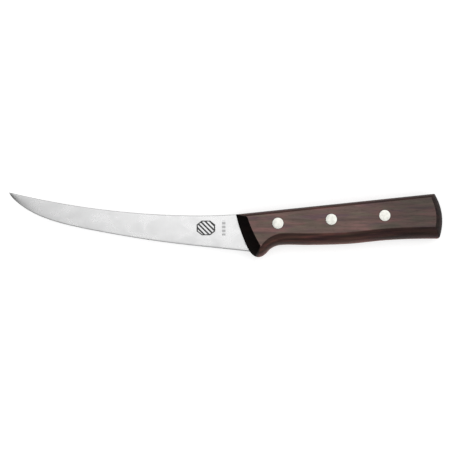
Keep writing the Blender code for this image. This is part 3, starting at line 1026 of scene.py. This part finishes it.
@dataclass
class Scale:
    """One wooden scale: rim wall against the tang, rolled bevels and a flat side face."""

    side: Side
    pattern: HandlePattern
    half_handle: float
    half_tang: float
    seam: float = 0.02 * MM
    bevel_steps: int = 22
    border_radius: float = 0.22 * MM  # softened border of the flat side face
    border_steps: int = 4
    margin: float = 0.35 * MM  # flat strip inside that border
    smooth_angle: float = math.radians(32)

    def rings(self) -> np.ndarray:
        """Rings from the tang outwards, in the handle's frame with Z from mid-thickness."""
        rim = joined(self.pattern.rim_pieces())
        face = joined(self.pattern.face_pieces())
        drop = self.pattern.along_rim("drop")
        rim_angle = self.pattern.along_rim("rim_angle")
        face_angle = self.pattern.along_rim("face_angle")
        inset = face - rim
        inset /= np.linalg.norm(inset, axis=1)[:, None]
        levels = [np.column_stack([rim, np.full(len(rim), self.half_tang + self.seam)])]
        for step in range(self.bevel_steps):
            angle = rim_angle + (face_angle - rim_angle) * step / self.bevel_steps
            inward = (np.cos(rim_angle) - np.cos(angle)) / (np.cos(rim_angle) - np.cos(face_angle))
            upward = (np.sin(angle) - np.sin(rim_angle)) / (np.sin(face_angle) - np.sin(rim_angle))
            points = rim + (face - rim) * inward[:, None]
            levels.append(np.column_stack([points, self.half_handle - drop * (1 - upward)]))
        levels += self.border(face, inset, face_angle)
        return np.array(levels)

    def border(self, face: np.ndarray, inset: np.ndarray, face_angle: np.ndarray) -> list:
        """Softened border of the flat face, and the flat strip inside it."""
        reach = self.border_radius * np.tan((math.pi / 2 - face_angle) / 2)
        before = np.column_stack(
            [
                face - inset * (reach * np.sin(face_angle))[:, None],
                self.half_handle - reach * np.cos(face_angle),
            ]
        )
        top = np.full(len(face), self.half_handle)
        crest = np.column_stack([face, top])
        after = np.column_stack([face + inset * reach[:, None], top])
        levels = []
        for step in range(self.border_steps + 1):
            t = step / self.border_steps
            levels.append((1 - t) ** 2 * before + 2 * t * (1 - t) * crest + t**2 * after)
        levels.append(np.column_stack([face + inset * (reach + self.margin)[:, None], top]))
        return levels

    def soak(self, scale: Object, rings: np.ndarray) -> None:
        """Marks how deep oil has soaked in round the heel, from the end grain into the belly.

        Args:
            scale: The finished scale.
            rings: The rings that it was raised from, in place.
        """
        count = rings.shape[1]
        tree = KDTree(rings.shape[0] * count)
        for number, place in enumerate(rings.reshape(-1, 3)):
            tree.insert(place, number)
        tree.balance()
        first, last = self.pattern.heel()
        layer = scale.data.attributes.new("soaked", "FLOAT", "POINT")
        nearest = [tree.find(vertex.co)[1] % count for vertex in scale.data.vertices]
        depths = smooth_step((np.array(nearest) - first) / (last - first))
        layer.data.foreach_set("value", depths.astype(np.float32))

    def build(self, corner: Vector, drills: list) -> Object:
        """Models the scale.

        Args:
            corner: The handle's upper front corner, at mid-thickness.
            drills: Cutters of the rivets' holes, in place.

        Returns:
            The scale, in place.
        """
        rings = self.rings()
        rings[:, :, :2] = self.pattern.to_blade(rings[:, :, :2])
        rings[:, :, 2] *= self.side.value
        rings += np.array(corner)
        scale, place_round = stack_of(f"{self.side.name.lower()}_scale_wood", rings)
        self.assign_finishes(scale, place_round, len(rings[0]))
        face_outwards(scale)
        for drill in drills:
            cut(scale, drill)
        self.soak(scale, rings)
        smooth(scale, self.smooth_angle)
        return scale

    def assign_finishes(self, scale: Object, place_round: np.ndarray, count: int) -> None:
        """Long grain all round, and end grain on the front and the butt."""
        for name in ("scale_long_grain", "front_end_grain", "butt_end_grain"):
            scale.data.materials.append(material_named(name))
        for slot, stretch in ((1, Stretch.FRONT), (2, Stretch.BUTT)):
            first, last = self.pattern.span(stretch)
            for polygon in scale.data.polygons:
                if len(polygon.vertices) != 4:
                    continue
                around = place_round[list(polygon.vertices)]
                if around.max() - around.min() > 1:
                    around = np.where(around == 0, count, around)
                middle = around.mean()
                if first <= middle < last or first <= middle - count < last:
                    polygon.material_index = slot


# ---------------------------------------------------------------- blade


@dataclass
class Blade:
    """Ground blade and full tang, in one piece of steel."""

    pattern: HandlePattern
    half_tang: float
    length: float = 149.0 * MM
    tip_rise: float = 14.45 * MM
    spine_dip: float = 0.8 * MM
    spine_dip_ahead: float = 23.4 * MM
    heel_depth: float = 24.4 * MM
    tip_width: float = 0.5 * MM
    tip_thickness: float = 0.9 * MM
    edge_bevel: float = 0.4 * MM
    shoulder_thickness: float = 0.19 * MM
    most_bevel_share: float = 0.4
    plunge_length: float = 3.0 * MM  # the ground faces run out to full thickness under the scales
    lean_start: float = 0.6
    edge_shape: tuple = (
        (0.0, 0.0),
        (0.013, 0.077),
        (0.026, 0.129),
        (0.046, 0.197),
        (0.071, 0.268),
        (0.105, 0.347),
        (0.154, 0.433),
        (0.213, 0.511),
        (0.296, 0.592),
        (0.379, 0.66),
        (0.5, 0.748),
        (0.628, 0.829),
        (0.753, 0.892),
        (0.878, 0.946),
        (1.0, 1.0),
    )
    edge_half_thickness: float = 0.015 * MM
    spine_rounding: float = 0.5 * MM
    tang_rounding: float = 0.12 * MM
    bow: float = 0.125  # how far the ground face bows out of a straight wedge
    blade_stations: int = 230
    tang_stations: int = 90
    face_rows: int = 22
    bevel_rows: int = 4
    corner_rows: int = 5
    tip_crowding: float = 1.7
    tang_crowding: float = 1.5
    bow_reach: float = 2.5 * MM  # how far behind the front the tang's sections still follow its curve
    smooth_angle: float = math.radians(12)

    def spine_height(self, x: float) -> float:
        """Height of the spine: it dips ahead of the handle and sweeps up to the tip."""
        forward = (-self.spine_dip_ahead - x) / (self.length - self.spine_dip_ahead)
        backward = (x + self.spine_dip_ahead) / self.spine_dip_ahead
        if forward > 0:
            return (self.tip_rise + self.spine_dip) * forward**2 - self.spine_dip
        return self.spine_dip * backward**2 - self.spine_dip

    def front_line(self) -> np.ndarray:
        """The blade's end at the handle's front, from the spine down to the heel of the edge."""
        rim = self.pattern.rim_pieces()
        front = np.concatenate([rim[2][1], rim[3][0], [[0.0, 0.0]]])
        front = self.pattern.to_blade(front)[::-1]
        front = front[: int(np.argmin(front[:, 1])) + 1]
        along = lengths_along(front)
        top = np.interp(0.0, -front[:, 1], along)
        heel = np.interp(self.heel_depth, -front[:, 1], along)
        return resample(front, top, heel, 2 * self.pattern.steps)

    def cutting_edge(self, front_line: np.ndarray) -> np.ndarray:
        """The cutting edge from the tip to the heel."""
        tip = np.array([-self.length, self.tip_rise - self.tip_width])
        run = front_line[-1] - tip
        points = [tip + run * np.array(share) for share in self.edge_shape]
        return smooth_path(points, None, self.pattern.steps)

    def section(self, width: float, half_spine: float, bevel: float, corner: float) -> np.ndarray:
        """Half of a cross-section of the blade.

        Args:
            width: From the spine to the cutting edge.
            half_spine: Half the thickness at the spine.
            bevel: Width of the sharpened bevel.
            corner: Radius of the spine's corner.

        Returns:
            Rows of (distance from the spine, height above mid-thickness), spine to edge.
        """
        rows = [(0.0, 0.0)]
        for i in range(self.corner_rows):
            turn = math.pi / 2 * i / (self.corner_rows - 1)
            rows.append((corner * (1 - math.cos(turn)), half_spine - corner * (1 - math.sin(turn))))
        shoulder = self.shoulder_thickness / 2
        ground = np.linspace(0.0, 1.0, self.face_rows + 1)[1:]
        for share in ground:
            straight = half_spine + (shoulder - half_spine) * share
            bow = self.bow * (half_spine - shoulder) * 4 * share * (1 - share)
            rows.append((corner + (width - bevel - corner) * share, straight + bow))
        for i in range(1, self.bevel_rows + 1):
            share = i / self.bevel_rows
            height = shoulder + (self.edge_half_thickness - shoulder) * share
            rows.append((width - bevel * (1 - share), height))
        rows.append((width, 0.0))
        return np.array(rows)

    def blade_rows(self, front_line: np.ndarray) -> list:
        """Cross-sections from the tip to the handle, as rows of (x, y, height)."""
        edge = self.cutting_edge(front_line)
        front_lengths = lengths_along(front_line)[-1]
        stations = []
        for station in range(self.blade_stations + 1):
            share = (station / self.blade_stations) ** self.tip_crowding
            x = -self.length * (1 - share)
            towards_handle = float(smooth_step((share - self.lean_start) / (1 - self.lean_start)))
            edge_x = x + front_line[-1, 0] * towards_handle
            spine = np.array([x, self.spine_height(x)])
            cut_at = np.array([edge_x, np.interp(edge_x, edge[:, 0], edge[:, 1])])
            width = float(np.linalg.norm(spine - cut_at))
            bevel = min(self.edge_bevel, self.most_bevel_share * width)
            half_spine = (self.tip_thickness + (2 * self.half_tang - self.tip_thickness) * share) / 2
            corner = min(self.spine_rounding, 0.2 * width, 0.8 * half_spine)
            rows = self.section(width, half_spine, bevel, corner)
            across = rows[:, 0] / width
            straight = spine + (cut_at - spine) * across[:, None]
            chord = front_line[0] + (front_line[-1] - front_line[0]) * across[:, None]
            bowed = at_length(front_line, across * front_lengths)
            points = straight + (bowed - chord) * towards_handle
            stations.append(np.column_stack([points, rows[:, 1]]))
        tip = stations[0].copy()
        tip[:, 2] = 0.0
        return [tip, *stations]

    def tang_heights(self, rows: np.ndarray) -> np.ndarray:
        """Heights of a section's rows where the steel has its full thickness."""
        heights = np.full(len(rows), self.half_tang)
        heights[0] = 0.0
        heights[1] = self.half_tang - self.tang_rounding
        heights[-2] = self.half_tang - self.tang_rounding
        heights[-1] = 0.0
        return heights

    def tang_rows(self, front_line: np.ndarray, ground: np.ndarray, across: np.ndarray) -> list:
        """Cross-sections from the handle's front to the butt, flat once the plunge is past.

        Args:
            front_line: The blade's end at the handle's front.
            ground: Heights of the last blade section.
            across: Shares of the width at which that section has its rows.

        Returns:
            Rows of (x, y, height) for each station.
        """
        rim = [list(piece) for piece in self.pattern.rim_pieces()]
        back, butt, belly, front = rim
        butt_line = self.pattern.to_blade(np.concatenate([back[1][-2:], butt[0], butt[1][:2]]))
        top = self.pattern.to_blade(np.concatenate([back[0], back[1][:-1]]))
        below = self.pattern.to_blade(np.concatenate([butt[1][1:], belly[0], belly[1], front[0]]))
        below = below[: int(np.nonzero(below[:, 1] < front_line[-1, 1])[0][-1]) + 1]
        top = np.concatenate([[front_line[0]], top[1:], [butt_line[0]]])
        below = np.concatenate([[butt_line[-1]], below, [front_line[-1]]])[::-1]
        top_length = lengths_along(top)[-1]
        below_length = lengths_along(below)[-1]
        flat = self.tang_heights(across)
        stations = []
        for station in range(1, self.tang_stations + 1):
            share = (station / self.tang_stations) ** self.tang_crowding
            heights = ground + (flat - ground) * smooth_step(share * top_length / self.plunge_length)
            high = at_length(top, share * top_length)
            low = at_length(below, share * below_length)
            points = high + (low - high) * across[:, None]
            behind = smooth_step(1 - share * top_length / self.bow_reach)
            for line, weight in ((front_line, behind), (butt_line, share**3)):
                chord = line[0] + (line[-1] - line[0]) * across[:, None]
                bowed = at_length(line, across * lengths_along(line)[-1])
                points = points + (bowed - chord) * weight
            stations.append(np.column_stack([points, heights]))
        end = stations[-1].copy()
        end[:, 2] = 0.0
        return [*stations, end]

    def build(self, corner: Vector, drills: list) -> Object:
        """Models the blade and its tang.

        Args:
            corner: The handle's upper front corner, at mid-thickness.
            drills: Cutters of the rivets' holes, in place.

        Returns:
            The blade, in place.
        """
        front_line = self.front_line()
        blade = self.blade_rows(front_line)
        last = blade[-1]
        width = np.linalg.norm(last[-1, :2] - last[0, :2])
        across = np.linalg.norm(last[:, :2] - last[0, :2], axis=1) / width
        across[-1] = 1.0
        stations = np.array(blade + self.tang_rows(front_line, last[:, 2], across))
        steel = sheet_of("blade_steel", stations)
        steel.modifiers.new("other_face", "MIRROR")
        mirror = steel.modifiers["other_face"]
        mirror.use_axis = (False, False, True)
        mirror.merge_threshold = 0.001 * MM
        bpy.ops.object.modifier_apply(modifier=mirror.name)
        edit(
            steel,
            (bpy.ops.mesh.select_all, {"action": "SELECT"}),
            (bpy.ops.mesh.remove_doubles, {"threshold": 0.0005 * MM}),
        )
        steel.location = corner
        settle(steel)
        face_outwards(steel)
        for drill in drills:
            cut(steel, drill)
        steel.data.materials.append(material_named("ground_steel"))
        smooth(steel, self.smooth_angle)
        return steel


# ---------------------------------------------------------------- rivets


@dataclass
class Rivet:
    """Compression rivet: a tubular half from the left and a solid half from the right."""

    place: str
    centre: Vector  # on the knife's mid-thickness
    head_radius: float
    half_handle: float
    head_thickness: float = 2.4 * MM
    socket_radius: float = 2.5 * MM
    bore_radius: float = 1.7 * MM
    bore_floor: float = 1.0 * MM
    pin_gap: float = 0.1 * MM
    fit_gap: float = 0.3 * MM
    pin_end_clearance: float = 1.0 * MM
    hole_gap: float = 0.12 * MM
    corner: float = 0.14 * MM
    sides: int = 72
    smooth_angle: float = math.radians(35)

    def cylinder(self, name: str, radius: float, low: float, high: float) -> Object:
        """Plain cylinder on the rivet's axis between two heights above mid-thickness."""
        deselect_all()
        bpy.ops.mesh.primitive_cylinder_add(
            vertices=self.sides,
            radius=radius,
            depth=high - low,
            location=self.centre + Vector((0.0, 0.0, (low + high) / 2)),
        )
        return name_piece(bpy.context.object, name)

    def drill(self) -> Object:
        """Cutter that clears the whole rivet: two counterbores and the hole between them."""
        shelf = self.half_handle - self.head_thickness - self.hole_gap
        outside = self.half_handle + self.head_thickness
        cutter = self.cylinder(f"{self.place}_drill", self.head_radius + self.hole_gap, shelf, outside)
        settle(cutter)
        shank = self.socket_radius + self.hole_gap
        self.work_end(
            cutter,
            -1,
            (("inset", self.head_radius + self.hole_gap - shank), ("sink", -2 * shelf)),
        )
        self.work_end(
            cutter,
            -1,
            (("inset", shank - self.head_radius - self.hole_gap), ("sink", shelf - outside)),
        )
        return cutter

    def work_end(self, piece: Object, way: int, steps: tuple) -> None:
        """Works the end face of a turned piece.

        Args:
            piece: The piece, settled.
            way: 1 for the upper end and -1 for the lower one.
            steps: Pairs of "inset" and a width, or "sink" and a distance along Z.
        """
        heights = read_corners(piece)[:, 2]
        end = heights.max() if way > 0 else heights.min()
        for polygon in piece.data.polygons:
            polygon.select = abs(polygon.center.z - end) < 0.001 * MM and abs(polygon.normal.z) > 0.9
        for item in (*piece.data.edges, *piece.data.vertices):
            item.select = False
        for polygon in piece.data.polygons:
            if polygon.select:
                for number in polygon.vertices:
                    piece.data.vertices[number].select = True
        calls = [(bpy.ops.mesh.select_mode, {"type": "FACE"})]
        for kind, amount in steps:
            if kind == "inset" and amount > 0:
                calls.append((bpy.ops.mesh.inset, {"thickness": amount}))
            elif kind == "inset":
                grown = (self.head_radius + self.hole_gap) / (self.socket_radius + self.hole_gap)
                calls.append((bpy.ops.mesh.extrude_region_move, {}))
                calls.append((self.widen, {"factor": grown}))
            else:
                move = {"TRANSFORM_OT_translate": {"value": (0.0, 0.0, amount)}}
                calls.append((bpy.ops.mesh.extrude_region_move, move))
        edit(piece, *calls)

    def widen(self, factor: float) -> None:
        """Grows the selected end about the rivet's axis."""
        bpy.ops.transform.resize(value=(factor, factor, 1.0), center_override=tuple(self.centre))

    def soften_head(self, piece: Object, way: int) -> None:
        """Rounds the outer corner of a head."""
        end = way * self.half_handle + self.centre.z
        bpy.context.view_layer.objects.active = piece
        mesh = piece.data
        flat = [abs(v.co.z - end) < 0.001 * MM for v in mesh.vertices]
        for item in (*mesh.polygons, *mesh.vertices):
            item.select = False
        for edge in mesh.edges:
            edge.select = flat[edge.vertices[0]] and flat[edge.vertices[1]]
        edit(
            piece,
            (bpy.ops.mesh.select_mode, {"type": "EDGE"}),
            (bpy.ops.mesh.bevel, {"offset": self.corner, "segments": 4, "affect": "EDGES"}),
        )

    def half(self, side: Side) -> Object:
        """Head of one half, flush with its side of the handle."""
        low, high = self.half_handle - self.head_thickness, self.half_handle
        if side is Side.RIGHT:
            low, high = -high, -low
        kind = "socket" if side is Side.LEFT else "pin"
        piece = self.cylinder(f"{self.place}_rivet_{kind}_metal", self.head_radius, low, high)
        settle(piece)
        return piece

    def socket(self) -> Object:
        """Tubular half, with its bore open downwards."""
        piece = self.half(Side.LEFT)
        under_head = self.half_handle - self.head_thickness
        tube = 2 * under_head - self.fit_gap
        bore = self.half_handle - self.bore_floor - self.fit_gap + under_head
        steps = (
            ("inset", self.head_radius - self.socket_radius),
            ("sink", -tube),
            ("inset", self.socket_radius - self.bore_radius),
            ("sink", bore),
        )
        self.work_end(piece, -1, steps)
        self.soften_head(piece, 1)
        return self.finish(piece)

    def pin(self) -> Object:
        """Solid half, whose pin is driven up the socket's bore."""
        piece = self.half(Side.RIGHT)
        under_head = self.half_handle - self.head_thickness
        reach = self.half_handle - self.bore_floor - self.pin_end_clearance + under_head
        steps = (("inset", self.head_radius - self.bore_radius + self.pin_gap), ("sink", reach))
        self.work_end(piece, 1, steps)
        self.soften_head(piece, -1)
        return self.finish(piece)

    def finish(self, piece: Object) -> Object:
        """Normals, shading and metal of one half."""
        face_outwards(piece)
        piece.data.materials.append(material_named("bright_rivet"))
        smooth(piece, self.smooth_angle)
        return piece


# ---------------------------------------------------------------- studio


@dataclass(frozen=True)
class Lamp:
    """Soft rectangular lamp that looks straight down."""

    name: str
    height: float
    left: float  # degrees from overhead to its edges, as seen from the knife
    right: float
    front: float
    back: float
    radiance: float

    def build(self) -> None:
        """Adds the lamp."""
        edges = (self.left, self.right, self.front, self.back)
        spans = [self.height * math.tan(math.radians(edge)) for edge in edges]
        width, depth = spans[1] - spans[0], spans[3] - spans[2]
        data = bpy.data.lights.new(self.name, "AREA")
        data.shape = "RECTANGLE"
        data.size, data.size_y = width, depth
        data.energy = math.pi * width * depth * self.radiance
        lamp = bpy.data.objects.new(self.name, data)
        lamp.location = ((spans[0] + spans[1]) / 2, (spans[2] + spans[3]) / 2, self.height)
        bpy.context.scene.collection.objects.link(lamp)


@dataclass
class Studio:
    """Pale floor, soft lamps, plain surroundings and the camera."""

    mid_height: float
    lens: float = 150.0
    sensor: float = 36.0
    view_width: float = 296.96 * MM  # what the camera takes in at the knife's mid-thickness
    aim: tuple[float, float] = (0.39 * MM, -0.80 * MM)
    floor_size: float = 60.0
    floor_colour: Colour = (0.62, 0.62, 0.62)
    floor_glow: float = 0.58
    far_glow: float = 0.66
    front_ceiling: float = 0.15
    back_ceiling: float = 0.36
    overhead: float = 0.30
    horizon: float = 1.0
    fill: float = 0.62
    glow_reach: tuple[float, float] = (1.0, 5.0)  # metres over which the floor's glow changes
    sides: tuple[float, float] = (-0.3, 0.3)  # where the ceiling turns from front to back
    horizon_ends: tuple[float, float] = (0.02, 0.3)  # heights in the sky, with 1 overhead
    overhead_starts: tuple[float, float] = (0.8, 0.95)
    lamps: tuple = (Lamp("softbox", 2.2, -11.9, 42.0, -14.8, 34.0, 1.29),)

    def build(self) -> None:
        """Builds the whole studio."""
        self.make_floor()
        self.make_world()
        for lamp in self.lamps:
            lamp.build()
        self.make_camera()
        bpy.context.scene.view_settings.view_transform = "Standard"

    def seen(self, bench: Bench) -> Socket:
        """One for rays that come from the camera or a reflection, and nought for light."""
        path = bench.put("ShaderNodeLightPath")
        names = ("Is Camera Ray", "Is Glossy Ray", "Is Transmission Ray")
        sockets = [path.outputs[name] for name in names]
        return bench.math("MAXIMUM", bench.math("MAXIMUM", sockets[0], sockets[1]), sockets[2])

    def make_floor(self) -> None:
        """Pale floor that keeps the knife's shadow."""
        deselect_all()
        bpy.ops.mesh.primitive_plane_add(size=self.floor_size)
        floor = name_piece(bpy.context.object, "floor")
        bench, shader, place = start_material("pale_floor")
        shader.inputs["Base Color"].default_value = paint(self.floor_colour)
        shader.inputs["Roughness"].default_value = 1.0
        shader.inputs["Specular IOR Level"].default_value = 0.0
        shader.inputs["Emission Color"].default_value = paint((1.0, 1.0, 1.0))
        distance = bench.put("ShaderNodeVectorMath", {0: place}, operation="LENGTH").outputs["Value"]
        shown = bench.ease(distance, *self.glow_reach, self.floor_glow, self.far_glow)
        glow = bench.times(self.seen(bench), shown)
        bench.tree.links.new(glow, shader.inputs["Emission Strength"])
        floor.data.materials.append(material_named("pale_floor"))
        floor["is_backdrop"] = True

    def make_world(self) -> None:
        """Even light, seen as a white horizon that darkens towards the ceiling."""
        world = bpy.data.worlds.new("studio")
        world.use_nodes = True
        bpy.context.scene.world = world
        bench = Bench(world.node_tree)
        background = world.node_tree.nodes["Background"]
        direction = bench.put("ShaderNodeTexCoord").outputs["Generated"]
        across, up = bench.axes(direction)[1:]
        ceiling = bench.ease(across, *self.sides, self.front_ceiling, self.back_ceiling)
        shown = bench.mix(bench.ease(up, *self.horizon_ends, 0.0, 1.0), self.horizon, ceiling)
        shown = bench.mix(bench.ease(up, *self.overhead_starts, 0.0, 1.0), shown, self.overhead)
        strength = bench.mix(self.seen(bench), self.fill, shown)
        bench.tree.links.new(strength, background.inputs["Strength"])
        background.inputs["Color"].default_value = paint((1.0, 1.0, 1.0))

    def make_camera(self) -> None:
        """Camera straight above the knife."""
        data = bpy.data.cameras.new("camera")
        data.lens = self.lens
        data.sensor_width = self.sensor
        distance = self.view_width * self.lens / self.sensor
        camera = bpy.data.objects.new("camera", data)
        camera.location = (*self.aim, self.mid_height + distance)
        bpy.context.scene.collection.objects.link(camera)
        bpy.context.scene.camera = camera


# ---------------------------------------------------------------- knife


@dataclass
class Knife:
    """The whole knife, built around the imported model's frame."""

    low: Vector
    high: Vector
    pattern: HandlePattern = field(default_factory=HandlePattern)
    pieces: list = field(default_factory=list)

    def finishes(self, where: Where) -> None:
        """Makes every finish of the knife."""
        scratches = fine_scratches()
        grain = wood_grain()
        SteelFinish().make(where, scratches)
        RivetFinish().make(where, scratches)
        GrainFinish().make(where, grain)
        EndGrainFinish("front_end_grain", shade=0.035, specular=0.05).make(where, grain)
        EndGrainFinish("butt_end_grain", shade=0.22, specular=0.2).make(where, grain)

    def add(self, piece: Object, node: str, slot: str) -> None:
        """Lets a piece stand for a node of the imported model."""
        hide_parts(node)
        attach(piece, "root")
        report(piece)
        self.pieces.append(piece)

    def build(self) -> None:
        """Models and dresses all nine pieces."""
        middle = (self.low.z + self.high.z) / 2
        half_handle = (self.high.z - self.low.z) / 2
        blade_low, blade_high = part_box("blade")
        half_tang = (blade_high.z - blade_low.z) / 2
        blade = Blade(self.pattern, half_tang)
        corner = Vector((self.low.x + blade.length, self.high.y - blade.tip_rise, middle))
        self.finishes(Where(corner, self.pattern.tilt, half_handle))
        rivets = []
        for place in ("front", "middle", "rear"):
            head_low, head_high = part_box(f"{place}_rivet_socket")
            centre = (head_low + head_high) / 2
            centre.z = middle
            rivets.append(Rivet(place, centre, (head_high.x - head_low.x) / 2, half_handle))
        drills = [rivet.drill() for rivet in rivets]
        self.add(blade.build(corner, drills), "blade", "blade_steel")
        for side in Side:
            scale = Scale(side, self.pattern, half_handle, half_tang).build(corner, drills)
            self.add(scale, f"{side.name.lower()}_scale", "scale_wood")
        for rivet in rivets:
            self.add(rivet.socket(), f"{rivet.place}_rivet_socket", "rivet_metal")
            self.add(rivet.pin(), f"{rivet.place}_rivet_pin", "rivet_metal")
        for drill in drills:
            remove(drill)


def main() -> None:
    """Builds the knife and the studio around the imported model."""
    logging.basicConfig(level=logging.INFO, format="%(name)s: %(message)s")
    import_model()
    low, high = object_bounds()
    knife = Knife(low, high)
    knife.build()
    Studio(mid_height=(low.z + high.z) / 2).build()


if __name__ == "__main__":
    main()
